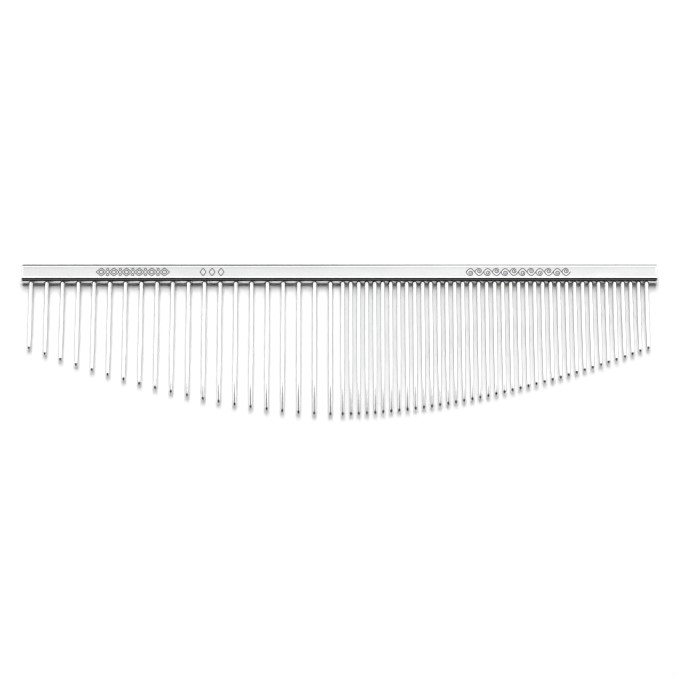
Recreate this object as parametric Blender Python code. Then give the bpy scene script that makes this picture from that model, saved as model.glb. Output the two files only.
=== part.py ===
"""Half-moon dematting comb.

A solid rectangular metal spine carries one row of round steel teeth.  The
teeth stand in drilled blind holes in the spine's lower edge, widely spaced
over one half of the comb and at half that pitch over the other half.  Their
exposed length is shortest at both ends of the spine and longest near its
middle, so the tips follow one shallow arc.

Frame: the comb lies on its back.  X runs along the spine with the coarse end
at -X, the teeth point to -Y, and the front face looks up (+Z).  The origin is
the centre of the spine's back face.  All lengths are in metres.
"""
import math

import bmesh
import bpy
from mathutils import Matrix, Vector

# ---------------------------------------------------------------- dimensions
SPINE_LENGTH = 0.2200          # along X
SPINE_HEIGHT = 0.0069          # along Y, the direction of the teeth
SPINE_THICKNESS = 0.0037       # along Z, back face to front face
SPINE_EDGE_RADIUS = 0.00170    # the four long edges are almost fully round
SPINE_END_ROUND = 0.0007       # how far the rounding reaches along X at each end
SPINE_EDGE_SEGMENTS = 5

COARSE_COUNT = 20
COARSE_PITCH = 0.00544
COARSE_END_MARGIN = 0.0035     # bar's left end to the axis of the first tooth

FINE_COUNT = 39
FINE_PITCH = 0.00276
FINE_END_MARGIN = 0.0040       # bar's right end to the axis of the last tooth

TOOTH_DIAMETER = 0.00155       # the parallel shank
TIP_DIAMETER = 0.00110         # where the taper meets the rounded tip
TIP_DOME = 0.00125             # length of the bullet-shaped rounding of the tip
COARSE_TAPER_FROM = 0.62       # share of the exposed length that stays parallel
FINE_TAPER_FROM = 0.46
TAPER_POWER = 1.25             # slightly bellied taper, always convex
TOOTH_SIDES = 12

LONGEST_TOOTH = 0.0476         # exposed length at the crown of the arc
SHORTEST_TOOTH = 0.0240        # exposed length at both ends
ARC_POWER = 1.75

SEAT_DEPTH = 0.0044            # length of a tooth inside the spine
HOLE_DEPTH = 0.0045
HOLE_CLEARANCE = 0.00003       # radial

# ---------------------------------------------------------- derived positions
COARSE_X = [-SPINE_LENGTH / 2 + COARSE_END_MARGIN + COARSE_PITCH * i
            for i in range(COARSE_COUNT)]
FINE_X = [SPINE_LENGTH / 2 - FINE_END_MARGIN - FINE_PITCH * j
          for j in reversed(range(FINE_COUNT))]
CROWN_X = (COARSE_X[0] + FINE_X[-1]) / 2
HALF_SPAN = (FINE_X[-1] - COARSE_X[0]) / 2
AXIS_Z = SPINE_THICKNESS / 2
MOUTH_Y = -SPINE_HEIGHT / 2    # the spine's lower edge face, where teeth emerge


def exposed_length(x):
    """Length of the tooth at x, from the spine's lower face to its tip."""
    share = abs(x - CROWN_X) / HALF_SPAN
    return LONGEST_TOOTH - (LONGEST_TOOTH - SHORTEST_TOOTH) * share ** ARC_POWER


def material(name, colour, roughness):
    mat = bpy.data.materials.new(name)
    mat.use_nodes = True
    shader = mat.node_tree.nodes["Principled BSDF"]
    shader.inputs["Base Color"].default_value = (*colour, 1.0)
    shader.inputs["Metallic"].default_value = 1.0
    shader.inputs["Roughness"].default_value = roughness
    return mat


def link(name, mesh, parent=None):
    obj = bpy.data.objects.new(name, mesh)
    bpy.context.scene.collection.objects.link(obj)
    obj.parent = parent
    return obj


def turned_solid(bm, stations, sides):
    """Add one closed round solid along -Y.

    stations are (distance, radius) pairs: the first ring is capped flat, every
    following ring is extruded from the one before it, and the last one is
    capped as well.
    """
    turn = Matrix.Rotation(math.radians(-90.0), 4, "X")
    first_y, first_r = stations[0]
    ring = bmesh.ops.create_circle(
        bm, cap_ends=True, segments=sides, radius=first_r,
        matrix=Matrix.Translation((0.0, -first_y, 0.0)) @ turn)["verts"]
    cap = ring[0].link_faces[0]
    if cap.normal.y < 0.0:
        cap.normal_flip()
    edges = [e for e in cap.edges]
    radius, station = first_r, first_y
    for next_station, next_radius in stations[1:]:
        made = bmesh.ops.extrude_edge_only(bm, edges=edges)["geom"]
        verts = [g for g in made if isinstance(g, bmesh.types.BMVert)]
        edges = [g for g in made if isinstance(g, bmesh.types.BMEdge)
                 and all(v in verts for v in g.verts)]
        grow = next_radius / radius
        bmesh.ops.scale(bm, verts=verts, vec=(grow, 1.0, grow))
        bmesh.ops.translate(bm, verts=verts,
                            vec=(0.0, -(next_station - station), 0.0))
        radius, station = next_radius, next_station
    bmesh.ops.contextual_create(bm, geom=edges)


def tooth_stations(length, taper_from):
    """Ring stations of one tooth, measured from the spine's lower face."""
    shank_r = TOOTH_DIAMETER / 2
    tip_r = TIP_DIAMETER / 2
    start = length * taper_from
    end = length - TIP_DOME
    rings = [(-SEAT_DEPTH, shank_r), (start, shank_r)]
    for share in (0.6, 1.0):
        rings.append((start + (end - start) * share,
                      shank_r - (shank_r - tip_r) * share ** TAPER_POWER))
    for degrees in (34.0, 60.0, 81.0):
        a = math.radians(degrees)
        rings.append((end + TIP_DOME * math.sin(a), tip_r * math.cos(a)))
    # the last ring carries the small flat that closes the tip exactly at length
    last = rings.pop()
    rings.append((length, last[1]))
    return rings


def add_tooth(name, x, taper_from, mat, parent):
    bm = bmesh.new()
    turned_solid(bm, tooth_stations(exposed_length(x), taper_from), TOOTH_SIDES)
    bmesh.ops.recalc_face_normals(bm, faces=bm.faces)
    mesh = bpy.data.meshes.new(name)
    bm.to_mesh(mesh)
    bm.free()
    mesh.shade_smooth()
    mesh.set_sharp_from_angle(angle=math.radians(38.0))
    mesh.materials.append(mat)
    tooth = link(name, mesh, parent)
    tooth.location = (x, MOUTH_Y, AXIS_Z)
    return tooth


def add_hole_cutters(parent):
    """All blind holes of the tooth row as one cutter of separate prisms."""
    bm = bmesh.new()
    radius = TOOTH_DIAMETER / 2 + HOLE_CLEARANCE
    for x in COARSE_X + FINE_X:
        one = bmesh.new()
        turned_solid(one, [(-HOLE_DEPTH, radius), (0.0010, radius)], TOOTH_SIDES)
        bmesh.ops.recalc_face_normals(one, faces=one.faces)
        bmesh.ops.translate(one, verts=one.verts, vec=(x, MOUTH_Y, AXIS_Z))
        piece = bpy.data.meshes.new("hole")
        one.to_mesh(piece)
        one.free()
        bm.from_mesh(piece)
        bpy.data.meshes.remove(piece)
    mesh = bpy.data.meshes.new("tooth_hole_cutters")
    bm.to_mesh(mesh)
    bm.free()
    cutter = link("tooth_hole_cutters", mesh, parent)
    cutter.hide_render = True
    cutter.display_type = "WIRE"
    return cutter


def add_spine(mat, parent):
    bm = bmesh.new()
    bmesh.ops.create_cube(bm, size=1.0)
    # The bar is rounded at one radius while it is a little too long, then
    # shortened to length, which makes the rounding at its ends tighter.
    shorten = SPINE_END_ROUND / SPINE_EDGE_RADIUS
    bmesh.ops.scale(bm, verts=bm.verts,
                    vec=(SPINE_LENGTH / shorten, SPINE_HEIGHT, SPINE_THICKNESS))
    bmesh.ops.translate(bm, verts=bm.verts, vec=(0.0, 0.0, SPINE_THICKNESS / 2))
    bmesh.ops.bevel(bm, geom=list(bm.edges), offset=SPINE_EDGE_RADIUS,
                    offset_type="OFFSET", segments=SPINE_EDGE_SEGMENTS,
                    profile=0.5, affect="EDGES", clamp_overlap=True)
    bmesh.ops.scale(bm, verts=bm.verts, vec=(shorten, 1.0, 1.0))
    bmesh.ops.recalc_face_normals(bm, faces=bm.faces)
    mesh = bpy.data.meshes.new("spine")
    bm.to_mesh(mesh)
    bm.free()
    mesh.shade_smooth()
    mesh.set_sharp_from_angle(angle=math.radians(38.0))
    mesh.materials.append(mat)
    spine = link("spine", mesh, parent)
    cut = spine.modifiers.new("tooth_holes", "BOOLEAN")
    cut.operation = "DIFFERENCE"
    cut.solver = "EXACT"
    cut.object = add_hole_cutters(parent)
    return spine


def main():
    for obj in list(bpy.data.objects):
        bpy.data.objects.remove(obj, do_unlink=True)

    chrome = material("spine_chrome", (0.83, 0.84, 0.85), 0.08)
    steel_coarse = material("coarse_tooth_steel", (0.80, 0.80, 0.81), 0.14)
    steel_fine = material("fine_tooth_steel", (0.80, 0.80, 0.81), 0.14)

    comb = bpy.data.objects.new("comb", None)
    bpy.context.scene.collection.objects.link(comb)

    add_spine(chrome, comb)
    for i, x in enumerate(COARSE_X, start=1):
        add_tooth(f"coarse_tooth_{i:02d}", x, COARSE_TAPER_FROM, steel_coarse, comb)
    for i, x in enumerate(FINE_X, start=1):
        add_tooth(f"fine_tooth_{i:02d}", x, FINE_TAPER_FROM, steel_fine, comb)


main()
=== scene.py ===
"""Looks of the half-moon dematting comb: a polished, plated bar with an engraved
ornament, and 59 turned and ground steel teeth pressed into its lower edge.

The comb lies on its back on a white table.  Every piece is built here as a
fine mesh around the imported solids, which give all positions and sizes.
"""
import math
import random

import bmesh
import bpy
import numpy as np
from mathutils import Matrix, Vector


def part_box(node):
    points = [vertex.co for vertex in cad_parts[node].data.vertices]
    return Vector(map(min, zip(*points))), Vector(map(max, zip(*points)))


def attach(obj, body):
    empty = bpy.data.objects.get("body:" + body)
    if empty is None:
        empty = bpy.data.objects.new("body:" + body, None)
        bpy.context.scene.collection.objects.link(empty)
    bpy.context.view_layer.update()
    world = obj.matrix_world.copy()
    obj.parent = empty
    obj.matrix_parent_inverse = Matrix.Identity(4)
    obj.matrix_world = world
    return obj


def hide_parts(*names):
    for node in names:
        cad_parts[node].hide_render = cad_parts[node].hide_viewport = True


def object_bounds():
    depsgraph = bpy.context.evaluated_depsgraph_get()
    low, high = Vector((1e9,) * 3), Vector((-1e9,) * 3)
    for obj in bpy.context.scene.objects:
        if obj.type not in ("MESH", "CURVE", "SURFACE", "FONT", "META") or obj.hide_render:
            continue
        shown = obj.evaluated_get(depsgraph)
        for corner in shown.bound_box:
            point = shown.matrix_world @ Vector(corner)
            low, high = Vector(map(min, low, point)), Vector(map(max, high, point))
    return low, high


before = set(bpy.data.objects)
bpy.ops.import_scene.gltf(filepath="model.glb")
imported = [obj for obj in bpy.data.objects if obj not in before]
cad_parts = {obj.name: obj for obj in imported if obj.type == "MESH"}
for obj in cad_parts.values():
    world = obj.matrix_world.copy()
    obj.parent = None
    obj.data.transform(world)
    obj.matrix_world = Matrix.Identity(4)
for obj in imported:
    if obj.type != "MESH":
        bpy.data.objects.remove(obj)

CAD_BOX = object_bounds()

MM = 0.001
SPINE = "spine"
COARSE = sorted(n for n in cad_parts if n.startswith("coarse_tooth_"))
FINE = sorted(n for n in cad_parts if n.startswith("fine_tooth_"))

spine_lo, spine_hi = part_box(SPINE)
MOUTH_Y = spine_lo.y                     # the teeth leave the bar here
FACE_Z = spine_hi.z                      # the engraved front face
EDGE_R = 1.70 * MM                       # rounding of the long edges
END_R = 0.70 * MM                        # rounding of the edge around each end
ARC_STEPS = 11                           # mesh steps over each 45 degrees
END_STEPS = 12                           # mesh steps over the 90 degrees at an end

TOOTH_SIDES = 40
HOLE_SIDES = 36
HOLE_GAP = 0.02 * MM
MOUTH_RELIEF = 0.22 * MM                 # the mouth of each hole is opened out a little,
MOUTH_LIFT = 0.18 * MM                   # most of it on the front face's side

GROOVE_R = 0.155 * MM                    # the engraver's round-nosed cutter
GROOVE_DEPTH = 0.12 * MM

rng = random.Random(41)


# ------------------------------------------------------------------ materials
def new_material(name):
    mat = bpy.data.materials.new(name)
    mat.use_nodes = True
    nodes = mat.node_tree.nodes
    shader = nodes["Principled BSDF"]
    return mat, mat.node_tree, shader


def noise(tree, coords, scale, detail=2.0, rough=0.5, size=1.0):
    """A noise texture on object coordinates, stretched by a per-axis scale."""
    mapping = tree.nodes.new("ShaderNodeMapping")
    mapping.inputs["Scale"].default_value = scale
    tree.links.new(coords, mapping.inputs["Vector"])
    tex = tree.nodes.new("ShaderNodeTexNoise")
    tex.inputs["Scale"].default_value = size
    tex.inputs["Detail"].default_value = detail
    tex.inputs["Roughness"].default_value = rough
    tree.links.new(mapping.outputs["Vector"], tex.inputs["Vector"])
    return tex.outputs["Fac"]


def ranged(tree, value, lo, hi, from_lo=0.3, from_hi=0.7):
    node = tree.nodes.new("ShaderNodeMapRange")
    node.inputs["From Min"].default_value = from_lo
    node.inputs["From Max"].default_value = from_hi
    node.inputs["To Min"].default_value = lo
    node.inputs["To Max"].default_value = hi
    tree.links.new(value, node.inputs["Value"])
    return node.outputs["Result"]


def math_node(tree, operation, a, b=None):
    node = tree.nodes.new("ShaderNodeMath")
    node.operation = operation
    for socket, value in zip(node.inputs, (a, b)):
        if value is None:
            continue
        if isinstance(value, (int, float)):
            socket.default_value = value
        else:
            tree.links.new(value, socket)
    return node.outputs[0]


def mixed_colour(tree, factor, dark, light):
    node = tree.nodes.new("ShaderNodeMix")
    node.data_type = "RGBA"
    node.inputs["A"].default_value = (*dark, 1.0)
    node.inputs["B"].default_value = (*light, 1.0)
    tree.links.new(factor, node.inputs["Factor"])
    return node.outputs["Result"]


def bump(tree, shader, height, distance, strength=1.0):
    node = tree.nodes.new("ShaderNodeBump")
    node.inputs["Strength"].default_value = strength
    node.inputs["Distance"].default_value = distance
    tree.links.new(height, node.inputs["Height"])
    tree.links.new(node.outputs["Normal"], shader.inputs["Normal"])


def object_coords(tree):
    return tree.nodes.new("ShaderNodeTexCoord").outputs["Object"]


def spine_chrome():
    """Plated and buffed bar: buffing lines run along it, with a soft handling haze."""
    mat, tree, shader = new_material("spine_chrome")
    shader.inputs["Metallic"].default_value = 1.0
    co = object_coords(tree)
    haze = noise(tree, co, (90.0, 260.0, 260.0), detail=4.0)
    lines = noise(tree, co, (60.0, 5200.0, 5200.0), detail=3.0)
    pits = noise(tree, co, (2600.0, 2600.0, 2600.0), detail=2.0)
    colour = mixed_colour(tree, ranged(tree, haze, 0.0, 1.0),
                          (0.640, 0.643, 0.647), (0.680, 0.683, 0.687))
    tree.links.new(colour, shader.inputs["Base Color"])
    rough = math_node(tree, "ADD", ranged(tree, haze, 0.030, 0.075),
                      ranged(tree, lines, 0.0, 0.035))
    rough = math_node(tree, "ADD", rough, ranged(tree, pits, 0.0, 0.06, 0.68, 0.80))
    tree.links.new(rough, shader.inputs["Roughness"])
    height = math_node(tree, "ADD", math_node(tree, "MULTIPLY", lines, 0.35),
                       math_node(tree, "MULTIPLY", haze, 1.0))
    bump(tree, shader, height, 0.0000022)
    return mat


def painted_groove_shade():
    """Groove floor: cut through the buffed skin, so matt; its near-black colour is painted
    shade, standing in for the shadow down in the engraved grooves, the drilled bores and the
    relieved tooth mouths.
    """
    mat, tree, shader = new_material("engraved_groove")
    shader.inputs["Metallic"].default_value = 1.0
    co = object_coords(tree)
    grain = noise(tree, co, (9000.0, 9000.0, 9000.0), detail=3.0)
    tree.links.new(mixed_colour(tree, ranged(tree, grain, 0.0, 1.0),
                                (0.055, 0.055, 0.057), (0.17, 0.17, 0.172)),
                   shader.inputs["Base Color"])
    tree.links.new(ranged(tree, grain, 0.22, 0.38), shader.inputs["Roughness"])
    bump(tree, shader, grain, 0.000004)
    return mat


def tooth_steel(name, light, rough_lo, rough_hi):
    """Drawn wire with fine lengthwise lines and a ground, then polished taper."""
    mat, tree, shader = new_material(name)
    shader.inputs["Metallic"].default_value = 1.0
    info = tree.nodes.new("ShaderNodeObjectInfo")
    co = object_coords(tree)
    # every tooth reads another stretch of the same grain
    shift = tree.nodes.new("ShaderNodeVectorMath")
    shift.operation = "ADD"
    step = math_node(tree, "MULTIPLY", info.outputs["Random"], 0.37)
    lift = tree.nodes.new("ShaderNodeCombineXYZ")
    tree.links.new(step, lift.inputs["Y"])
    tree.links.new(co, shift.inputs[0])
    tree.links.new(lift.outputs["Vector"], shift.inputs[1])
    co = shift.outputs["Vector"]
    drawn = noise(tree, co, (6500.0, 110.0, 6500.0), detail=3.0)
    ground = noise(tree, co, (700.0, 5200.0, 700.0), detail=2.0)
    patches = noise(tree, co, (300.0, 190.0, 300.0), detail=3.0)
    dark = tuple(c * 0.93 for c in light)
    tree.links.new(mixed_colour(tree, ranged(tree, patches, 0.0, 1.0), dark, light),
                   shader.inputs["Base Color"])
    rough = math_node(tree, "ADD", ranged(tree, patches, rough_lo, rough_hi),
                      ranged(tree, ground, 0.0, 0.03))
    tree.links.new(rough, shader.inputs["Roughness"])
    height = math_node(tree, "ADD", math_node(tree, "MULTIPLY", drawn, 0.6),
                       math_node(tree, "MULTIPLY", ground, 0.25))
    bump(tree, shader, height, 0.0000009)
    return mat


MAT_SPINE = spine_chrome()
# near-black metal that paints shade into every cut: engraved grooves, bores and tooth mouths
MAT_GROOVE_SHADE = painted_groove_shade()
MAT_COARSE = tooth_steel("coarse_tooth_steel", (0.66, 0.66, 0.662), 0.045, 0.10)
MAT_FINE = tooth_steel("fine_tooth_steel", (0.65, 0.65, 0.652), 0.055, 0.11)


# --------------------------------------------------------------------- meshes
def object_from(name, verts, faces):
    mesh = bpy.data.meshes.new(name)
    mesh.from_pydata([tuple(v) for v in verts], [], faces)
    obj = bpy.data.objects.new(name, mesh)
    bpy.context.scene.collection.objects.link(obj)
    return obj


def bar_section():
    """Outline of the bar across its length: (y, z) points and their outward normals."""
    flat_y = (spine_hi.y - spine_lo.y) / 2 - EDGE_R
    flat_z = (spine_hi.z - spine_lo.z) / 2 - EDGE_R
    mid_y, mid_z = (spine_lo.y + spine_hi.y) / 2, (spine_lo.z + spine_hi.z) / 2
    out = []
    for corner, (sy, sz) in enumerate(((1, 1), (-1, 1), (-1, -1), (1, -1))):
        for i in range(2 * ARC_STEPS + 1):
            a = math.radians(90.0) * (corner + i / (2 * ARC_STEPS))
            ny, nz = math.cos(a), math.sin(a)
            out.append((mid_y + sy * flat_y + EDGE_R * ny,
                        mid_z + sz * flat_z + EDGE_R * nz, ny, nz))
    return out


def rounded_bar(stations_x):
    """The bar as one closed mesh: rounded long edges, and flat ends with a tighter edge."""
    ends = [(END_R * (1.0 - math.sin(v)), END_R * (1.0 - math.cos(v)))
            for v in (math.radians(90.0 * (END_STEPS - i) / END_STEPS)
                      for i in range(END_STEPS + 1))]
    rings = [(spine_lo.x + reach, inset) for reach, inset in ends]
    rings += [(x, 0.0) for x in stations_x]
    rings += [(spine_hi.x - reach, inset) for reach, inset in reversed(ends)]
    section = bar_section()
    n = len(section)
    verts = [(x, y - ny * inset, z - nz * inset)
             for x, inset in rings for y, z, ny, nz in section]
    faces = [(k * n + i, k * n + (i + 1) % n, (k + 1) * n + (i + 1) % n, (k + 1) * n + i)
             for k in range(len(rings) - 1) for i in range(n)]
    faces.append(tuple(reversed(range(n))))
    faces.append(tuple(range((len(rings) - 1) * n, len(rings) * n)))
    obj = object_from("comb_spine", verts, faces)
    fix_normals(obj.data)
    return obj


def lathe(profile, sides, centre_of):
    """Closed round solid along -Y from (y, radius) stops; centre_of(y) is (x, z)."""
    verts, faces = [], []
    for y, r in profile:
        cx, cz = centre_of(y)
        for s in range(sides):
            a = 2.0 * math.pi * s / sides
            verts.append((cx + r * math.sin(a), y, cz + r * math.cos(a)))
    rings = len(profile)
    for ring in range(rings - 1):
        for s in range(sides):
            t = (s + 1) % sides
            a, b = ring * sides, (ring + 1) * sides
            faces.append((a + s, a + t, b + t, b + s))
    first = len(verts)
    for ring, stop in ((0, profile[0]), (rings - 1, profile[-1])):
        cx, cz = centre_of(stop[0])
        verts.append((cx, stop[0], cz))
    for s in range(sides):
        t = (s + 1) % sides
        faces.append((first, t, s))
        e = (rings - 1) * sides
        faces.append((first + 1, e + s, e + t))
    return verts, faces


def fix_normals(mesh):
    bm = bmesh.new()
    bm.from_mesh(mesh)
    bmesh.ops.recalc_face_normals(bm, faces=bm.faces)
    bm.to_mesh(mesh)
    bm.free()


def tooth(node, taper_from, mat):
    lo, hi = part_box(node)
    x0, z0 = (lo.x + hi.x) / 2, (lo.z + hi.z) / 2
    r0 = (hi.z - lo.z) / 2
    tip_r = 0.55 * MM
    length = MOUTH_Y - lo.y
    dome = 1.25 * MM
    start, end = length * taper_from, length - dome

    profile = [(hi.y, r0 - 0.12 * MM), (hi.y - 0.12 * MM, r0)]
    profile += [(MOUTH_Y + 0.4 * MM, r0), (MOUTH_Y, r0)]
    for i in range(1, 7):
        profile.append((MOUTH_Y - start * i / 6, r0))
    for i in range(1, 19):
        t = i / 18
        profile.append((MOUTH_Y - start - (end - start) * t,
                        r0 - (r0 - tip_r) * t ** 1.30))
    for i in range(1, 15):
        a = math.radians(90.0 * i / 15)
        profile.append((MOUTH_Y - end - dome * math.sin(a), tip_r * math.cos(a)))
    profile.append((lo.y + 0.4e-6, tip_r * 0.03))

    # pressing in leaves each tooth a few hundredths of a millimetre off true
    dx = max(-0.09, min(0.09, rng.gauss(0.0, 0.04))) * MM
    dz = max(-0.07, min(0.07, rng.gauss(0.0, 0.03))) * MM

    def centre_of(y):
        t = max(0.0, (MOUTH_Y - y) / length)
        return x0 + dx * t ** 1.4, z0 + dz * t ** 1.4

    verts, faces = lathe(profile, TOOTH_SIDES, centre_of)
    obj = object_from("tooth_" + node.replace("_tooth", ""), verts, faces)
    fix_normals(obj.data)
    obj.data.shade_smooth()
    obj.data.set_sharp_from_angle(angle=math.radians(40.0))
    obj.data.materials.append(mat)
    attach(obj, "root")
    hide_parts(node)
    return obj


# --------------------------------------------------------- engraved ornament
def stroke(path, closed=False, sides=10):
    """One pass of the engraver's cutter along a planar path of (x, y) points."""
    z = FACE_Z + GROOVE_R - GROOVE_DEPTH
    pts = [Vector((x, y)) for x, y in path]
    n = len(pts)
    rings = []
    for i, p in enumerate(pts):
        a = pts[(i - 1) % n] if closed or i > 0 else p
        b = pts[(i + 1) % n] if closed or i < n - 1 else p
        t = (b - a).normalized()
        rings.append((p, t, GROOVE_R))
    if not closed:
        p, t, _ = rings[0]
        head = [(p - t * GROOVE_R * math.sin(math.radians(g)), t,
                 GROOVE_R * math.cos(math.radians(g))) for g in (75.0, 50.0, 25.0)]
        p, t, _ = rings[-1]
        tail = [(p + t * GROOVE_R * math.sin(math.radians(g)), t,
                 GROOVE_R * math.cos(math.radians(g))) for g in (25.0, 50.0, 75.0)]
        rings = head + rings + tail
    verts, faces = [], []
    for p, t, r in rings:
        side = Vector((-t.y, t.x))
        for s in range(sides):
            a = 2.0 * math.pi * (s + 0.5) / sides
            q = p + side * (r * math.cos(a))
            verts.append((q.x, q.y, z + r * math.sin(a)))
    m = len(rings)
    for i in range(m if closed else m - 1):
        k = (i + 1) % m
        for s in range(sides):
            e = (s + 1) % sides
            faces.append((i * sides + s, i * sides + e, k * sides + e, k * sides + s))
    if not closed:
        faces.append(tuple(range(sides)))
        faces.append(tuple(reversed(range((m - 1) * sides, m * sides))))
    return verts, faces


def rounded_polygon(corners, fillet, step=0.12 * MM):
    """Closed path through the corners, each turned with a small arc."""
    out = []
    n = len(corners)
    for i in range(n):
        a, b, c = (Vector(corners[(i + k) % n]) for k in (-1, 0, 1))
        u, w = (a - b).normalized(), (c - b).normalized()
        half = math.acos(max(-1.0, min(1.0, u.dot(w)))) / 2
        cut = fillet / math.tan(half)
        centre = b + (u + w).normalized() * (fillet / math.sin(half))
        p, q = b + u * cut, b + w * cut
        a0 = math.atan2(p.y - centre.y, p.x - centre.x)
        turn = math.atan2(q.y - centre.y, q.x - centre.x) - a0
        turn = (turn + math.pi) % (2 * math.pi) - math.pi
        arcs = max(3, int(abs(turn) * fillet / (0.6 * step)))
        for k in range(arcs + 1):
            g = a0 + turn * k / arcs
            out.append((centre.x + fillet * math.cos(g), centre.y + fillet * math.sin(g)))
        nxt = Vector(corners[(i + 2) % n])
        u2, w2 = (b - c).normalized(), (nxt - c).normalized()
        half2 = math.acos(max(-1.0, min(1.0, u2.dot(w2)))) / 2
        end = c + u2 * (fillet / math.tan(half2))
        gap = (end - q).length
        for k in range(1, int(gap / (4 * step))):
            out.append(tuple(q.lerp(end, k * 4 * step / gap)))
    return out


def lozenge(cx, cy, wide, high, fillet=0.24 * MM):
    return rounded_polygon([(cx - wide / 2, cy), (cx, cy - high / 2),
                            (cx + wide / 2, cy), (cx, cy + high / 2)], fillet)


def circle(cx, cy, r, steps=24):
    return [(cx + r * math.cos(2 * math.pi * k / steps),
             cy + r * math.sin(2 * math.pi * k / steps)) for k in range(steps)]


def lozenge_chain():
    """Outlined lozenges with small rings between them, and three upright marks."""
    strokes = []
    left = spine_lo.x
    unit, count = 4.35 * MM, 6
    x = left + 25.6 * MM
    for k in range(count):
        cx = x + unit * (k + 0.5)
        strokes.append(stroke(lozenge(cx, 0.0, 3.72 * MM, 2.94 * MM), closed=True))
        strokes.append(stroke(lozenge(cx, 0.0, 2.00 * MM, 1.52 * MM, 0.19 * MM), closed=True))
        if k < count - 1:
            for sy in (-1.0, 1.0):
                strokes.append(stroke(circle(cx + unit / 2, sy * 0.95 * MM, 0.40 * MM, 22),
                                      closed=True))
    for k in range(3):
        cx = left + (62.9 + 3.1 * k) * MM
        strokes.append(stroke(lozenge(cx, 0.0, 2.15 * MM, 2.86 * MM, 0.24 * MM), closed=True))
    return strokes


def vine():
    """A running wave, and the curls that branch off it into the hollow of each bend."""
    period, waves, amp = 6.0 * MM, 6, 1.26 * MM
    x1 = spine_hi.x - 30.3 * MM
    x0 = x1 - period * waves
    steps = 36
    stem = [(x0 + period * i / steps, amp * math.sin(2 * math.pi * i / steps))
            for i in range(steps * waves + 1)]
    curls = []
    for k in range(2 * waves):
        up = 1.0 if k % 2 == 0 else -1.0
        cx, cy = x0 + period * (0.25 + 0.5 * k), -up * 0.40 * MM
        start = math.atan2(0.40, -1.40)
        path = []
        for i in range(47):
            turned = math.radians(590.0) * i / 46
            early = min(1.0, turned / math.radians(95.0))
            late = max(0.0, turned - math.radians(95.0)) / math.radians(495.0)
            r = (1.42 - 0.52 * math.sin(early * math.pi / 2)) * MM - 0.66 * MM * late
            angle = start + turned
            path.append((cx + r * math.cos(angle), cy + up * r * math.sin(angle)))
        curls.append(stroke(path))
    return [stroke(stem)], curls


def joined(name, pieces):
    verts, faces = [], []
    for v, f in pieces:
        base = len(verts)
        verts += v
        faces += [tuple(base + i for i in face) for face in f]
    obj = object_from(name, verts, faces)
    fix_normals(obj.data)
    return obj


def surface_normal(p):
    """Outward normal of the exact bar surface at p, and how far p is off it."""
    across = []
    for a in (1, 2):
        core = min(max(p[a], spine_lo[a] + EDGE_R), spine_hi[a] - EDGE_R)
        across.append(p[a] - core)
    size = math.hypot(*across)
    past = size - (EDGE_R - END_R)
    beyond = max(0.0, abs(p.x) - (spine_hi.x - END_R))
    if past <= 1e-9:                     # the flat of an end
        return Vector((math.copysign(1.0, p.x), 0.0, 0.0)), abs(beyond - END_R) / EDGE_R
    m = Vector((math.copysign(beyond, p.x), across[0] * past / size, across[1] * past / size))
    return m.normalized(), abs(m.length - END_R) / EDGE_R


def spine():
    teeth = [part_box(n) for n in COARSE + FINE]
    axes = [((lo.x + hi.x) / 2, (lo.z + hi.z) / 2, (hi.z - lo.z) / 2, hi.y)
            for lo, hi in teeth]
    xs = sorted(a[0] for a in axes)
    mids = [(a + b) / 2 for a, b in zip(xs, xs[1:])]
    obj = rounded_bar(mids)
    obj.data.materials.append(MAT_SPINE)

    drills = []
    for x, z, r, deep in axes:
        stops = [(MOUTH_Y - 1.2 * MM, r + HOLE_GAP), (deep + 0.1 * MM, r + HOLE_GAP),
                 (deep + 0.4 * MM, 0.25 * MM)]
        drills.append(lathe(stops, HOLE_SIDES, lambda y, x=x, z=z: (x, z)))
    # each mouth is relieved towards the front face; the shade in that relief is deepened by
    # the near-black groove metal, painted shade, so that a dark crescent tops the root
    mouths = [lathe([(MOUTH_Y - 1.2 * MM, r + MOUTH_RELIEF),
                     (MOUTH_Y + 0.85 * MM, r + MOUTH_RELIEF)],
                    HOLE_SIDES, lambda y, x=x, z=z: (x, z + MOUTH_LIFT))
              for x, z, r, _ in axes]
    stem, curls = vine()
    cutters = []
    for name, passes in (("drills", drills), ("mouths", mouths),
                         ("chain_passes", lozenge_chain() + stem), ("curl_passes", curls)):
        cutters.append(joined(name, passes))
        # every cut face takes the cutter's near-black groove metal: painted shade in the
        # grooves, bores and mouths
        cutters[-1].data.materials.append(MAT_GROOVE_SHADE)

    for cutter in cutters:
        cut = obj.modifiers.new(cutter.name, "BOOLEAN")
        cut.operation = "DIFFERENCE"
        cut.solver = "EXACT"
        cut.material_mode = "TRANSFER"
        cut.object = cutter
    bpy.context.view_layer.update()
    dg = bpy.context.evaluated_depsgraph_get()
    mesh = bpy.data.meshes.new_from_object(obj.evaluated_get(dg), depsgraph=dg)
    obj.modifiers.clear()
    obj.data = mesh
    mesh.name = "comb_spine"
    for cutter in cutters:
        bpy.data.objects.remove(cutter)

    # large faces with cut-outs are triangulated here, then given the bar's true normals
    bm = bmesh.new()
    bm.from_mesh(mesh)
    bmesh.ops.triangulate(bm, faces=[f for f in bm.faces if len(f.verts) > 4])
    bmesh.ops.holes_fill(bm, edges=[e for e in bm.edges if e.is_boundary], sides=8)
    bmesh.ops.recalc_face_normals(bm, faces=bm.faces)
    bm.to_mesh(mesh)
    bm.free()
    mesh.shade_smooth()
    mesh.set_sharp_from_angle(angle=math.radians(32.0))
    exact = [surface_normal(v.co) for v in mesh.vertices]
    normals = [(0.0, 0.0, 0.0)] * len(mesh.loops)
    for poly in mesh.polygons:
        found = [exact[i] for i in poly.vertices]
        if all(off < 0.002 for _, off in found) and found[0][0].dot(poly.normal) > 0.9:
            for loop, (n, _) in zip(poly.loop_indices, found):
                normals[loop] = tuple(n)
    mesh.normals_split_custom_set(normals)
    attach(obj, "root")
    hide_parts(SPINE)
    return obj


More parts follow.
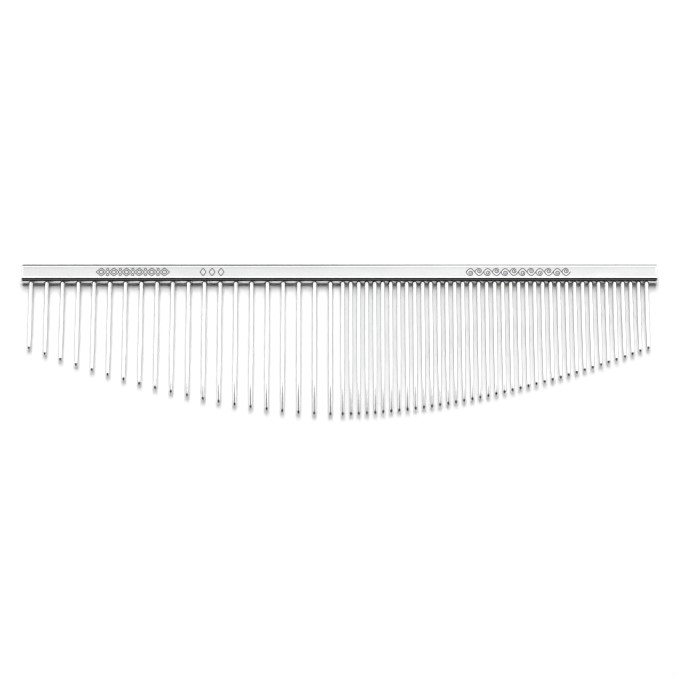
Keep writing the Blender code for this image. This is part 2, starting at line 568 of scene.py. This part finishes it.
# ---------------------------------------------------------------------- studio
def stage_plane(name, x0, x1, y0, y1, z, mat):
    obj = object_from(name, [(x0, y0, z), (x1, y0, z), (x1, y1, z), (x0, y1, z)],
                      [(0, 1, 2, 3)])
    obj.data.materials.append(mat)
    return obj


def table():
    mat, tree, shader = new_material("white_table")
    shader.inputs["Base Color"].default_value = (0.90, 0.90, 0.90, 1.0)
    shader.inputs["Roughness"].default_value = 0.9
    shader.inputs["Specular IOR Level"].default_value = 0.1
    return stage_plane("table", -4.0, 4.0, -4.0, 4.0, -0.00002, mat)


PANEL_Z = 0.137
PANEL_Y = (-0.0044, 0.175)


def emission_material(name, strength):
    mat = bpy.data.materials.new(name)
    mat.use_nodes = True
    tree = mat.node_tree
    tree.nodes.clear()
    out = tree.nodes.new("ShaderNodeOutputMaterial")
    glow = tree.nodes.new("ShaderNodeEmission")
    glow.inputs["Strength"].default_value = strength
    tree.links.new(glow.outputs[0], out.inputs["Surface"])
    return mat, tree, glow


def diffuser():
    """Lit diffusing panel over the comb, seen only in the metal."""
    mat, tree, glow = emission_material("diffuser", 2.15)
    sep = tree.nodes.new("ShaderNodeSeparateXYZ")
    tree.links.new(tree.nodes.new("ShaderNodeTexCoord").outputs["Object"], sep.inputs[0])
    where = ranged(tree, sep.outputs["Y"], 0.0, 1.0, PANEL_Y[0], PANEL_Y[1])
    ramp = tree.nodes.new("ShaderNodeValToRGB")
    tree.links.new(where, ramp.inputs["Fac"])
    span = PANEL_Y[1] - PANEL_Y[0]
    stops = [(PANEL_Y[0], 1.00), (0.0385, 1.00), (0.0398, 0.60), (0.0455, 0.59),
             (0.0500, 0.40), (0.0860, 0.40), (0.0940, 1.0)]
    elements = ramp.color_ramp.elements
    while len(elements) < len(stops):
        elements.new(0.5)
    for e, (y, v) in zip(elements, stops):
        e.position = (y - PANEL_Y[0]) / span
        e.color = (v, v, v, 1.0)
    # the seam and the dimmer middle are no wider than the comb
    ends = ranged(tree, math_node(tree, "ABSOLUTE", sep.outputs["X"]), 0.0, 1.0, 0.131, 0.143)
    tone = tree.nodes.new("ShaderNodeMix")
    tone.data_type = "RGBA"
    tree.links.new(ends, tone.inputs["Factor"])
    tree.links.new(ramp.outputs["Color"], tone.inputs["A"])
    tone.inputs["B"].default_value = (1.0, 1.0, 1.0, 1.0)
    tree.links.new(tone.outputs["Result"], glow.inputs["Color"])
    tree.links.new(ranged(tree, sep.outputs["X"], 2.15, 2.29, -0.03, 0.05),
                   glow.inputs["Strength"])
    panel = stage_plane("diffuser_panel", -1.00, 1.00, PANEL_Y[0], PANEL_Y[1], PANEL_Z, mat)
    panel.visible_camera = False
    panel.visible_diffuse = False
    panel.visible_shadow = False
    return panel


def soft_sky():
    """Great soft source beyond the spine: it lights the table, not the tooth side."""
    radius = 32.0
    angles = [math.radians(5.0 + 57.0 * i / 14) for i in range(15)]
    verts = [(x, radius * math.sin(a), radius * math.cos(a))
             for a in angles for x in (-12.6, 12.6)]
    faces = [(2 * i, 2 * i + 1, 2 * i + 3, 2 * i + 2) for i in range(14)]
    mat, _, _ = emission_material("soft_sky", 6.55)
    obj = object_from("soft_sky", verts, faces)
    obj.data.materials.append(mat)
    obj.visible_camera = False
    obj.visible_glossy = False
    obj.visible_shadow = False
    return obj


def surroundings():
    """What the metal sees past the diffuser: pale walls left and right, a dim room."""
    world = bpy.data.worlds.new("studio")
    bpy.context.scene.world = world
    world.use_nodes = True
    tree = world.node_tree
    tree.nodes.clear()
    out = tree.nodes.new("ShaderNodeOutputWorld")
    sep = tree.nodes.new("ShaderNodeSeparateXYZ")
    tree.links.new(tree.nodes.new("ShaderNodeTexCoord").outputs["Generated"], sep.inputs[0])
    lean = math_node(tree, "ARCTAN2", sep.outputs["Y"], sep.outputs["Z"])
    where = ranged(tree, lean, 0.0, 1.0, -math.pi / 2, math.pi / 2)
    ramp = tree.nodes.new("ShaderNodeValToRGB")
    tree.links.new(where, ramp.inputs["Fac"])
    stops = [(-90.0, 0.006), (-67.0, 0.008), (-61.0, 0.115), (-31.0, 0.115),
             (-26.0, 0.006), (0.0, 0.006), (8.0, 0.14), (54.0, 0.14),
             (62.0, 0.12), (90.0, 0.20)]
    elements = ramp.color_ramp.elements
    while len(elements) < len(stops):
        elements.new(0.5)
    for e, (deg, v) in zip(elements, stops):
        e.position = (deg + 90.0) / 180.0
        e.color = (v, v, v, 1.0)
    # beyond the spine the room is darker on the coarse side than on the fine side
    pale = math_node(tree, "MULTIPLY", ranged(tree, sep.outputs["X"], 0.0, 1.0, -0.02, 0.05),
                     ranged(tree, lean, 0.0, 1.0, math.radians(46.0), math.radians(51.0)))
    beyond = tree.nodes.new("ShaderNodeMix")
    beyond.data_type = "RGBA"
    tree.links.new(pale, beyond.inputs["Factor"])
    tree.links.new(ramp.outputs["Color"], beyond.inputs["A"])
    beyond.inputs["B"].default_value = (0.80, 0.80, 0.80, 1.0)
    # pale windows at the corners of the room, out of line with the comb's own axes
    aside = math_node(tree, "ABSOLUTE", sep.outputs["X"])
    window = 1.0
    for value, stops in ((where, [(0.0, 0.0), (0.045, 0.0), (0.067, 1.0), (0.167, 1.0),
                                  (0.189, 0.0), (0.70, 0.0), (0.733, 1.0), (1.0, 1.0)]),
                         (aside, [(0.38, 0.0), (0.48, 1.0), (0.82, 1.0), (0.88, 0.0)])):
        mask = tree.nodes.new("ShaderNodeValToRGB")
        tree.links.new(value, mask.inputs["Fac"])
        while len(mask.color_ramp.elements) < len(stops):
            mask.color_ramp.elements.new(0.5)
        for e, (at, v) in zip(mask.color_ramp.elements, stops):
            e.position = at
            e.color = (v, v, v, 1.0)
        window = math_node(tree, "MULTIPLY", mask.outputs["Color"], window)
    pane = tree.nodes.new("ShaderNodeMix")
    pane.data_type = "RGBA"
    tree.links.new(window, pane.inputs["Factor"])
    tree.links.new(beyond.outputs["Result"], pane.inputs["A"])
    pane.inputs["B"].default_value = (0.95, 0.95, 0.95, 1.0)
    side = ranged(tree, aside, 0.0, 1.0, 0.88, 0.94)
    mix = tree.nodes.new("ShaderNodeMix")
    mix.data_type = "RGBA"
    tree.links.new(side, mix.inputs["Factor"])
    tree.links.new(pane.outputs["Result"], mix.inputs["A"])
    mix.inputs["B"].default_value = (0.55, 0.55, 0.55, 1.0)
    path = tree.nodes.new("ShaderNodeLightPath")
    room = tree.nodes.new("ShaderNodeBackground")       # for the table's own light
    room.inputs["Color"].default_value = (0.012, 0.012, 0.012, 1.0)
    studio = tree.nodes.new("ShaderNodeBackground")
    tree.links.new(mix.outputs["Result"], studio.inputs["Color"])
    lit = tree.nodes.new("ShaderNodeMixShader")
    tree.links.new(path.outputs["Is Glossy Ray"], lit.inputs["Fac"])
    tree.links.new(room.outputs[0], lit.inputs[1])
    tree.links.new(studio.outputs[0], lit.inputs[2])
    plain = tree.nodes.new("ShaderNodeBackground")
    plain.inputs["Color"].default_value = (1.0, 1.0, 1.0, 1.0)
    choose = tree.nodes.new("ShaderNodeMixShader")
    tree.links.new(path.outputs["Is Camera Ray"], choose.inputs["Fac"])
    tree.links.new(lit.outputs[0], choose.inputs[1])
    tree.links.new(plain.outputs[0], choose.inputs[2])
    tree.links.new(choose.outputs[0], out.inputs["Surface"])


def camera():
    """Long lens from the tooth side, 17 degrees off the front face's normal."""
    cam = bpy.data.cameras.new("camera")
    cam.sensor_width = 36.0
    cam.lens = 139.0
    cam.clip_start = 0.01
    cam.clip_end = 50.0
    obj = bpy.data.objects.new("camera", cam)
    bpy.context.scene.collection.objects.link(obj)
    lo, hi = CAD_BOX
    target = Vector(((lo.x + hi.x) / 2, (lo.y + hi.y) / 2, (lo.z + hi.z) / 2))
    up = math.radians(73.0)
    distance = 0.90
    obj.location = target + Vector((0.0, -math.cos(up), math.sin(up))) * distance
    obj.rotation_euler = (target - obj.location).to_track_quat("-Z", "Y").to_euler()
    bpy.context.scene.camera = obj
    return obj


camera()
spine()
for node in COARSE:
    tooth(node, 0.62, MAT_COARSE)
for node in FINE:
    tooth(node, 0.46, MAT_FINE)
table()
diffuser()
soft_sky()
surroundings()
bpy.context.scene.view_settings.view_transform = "Standard"

bpy.context.view_layer.update()
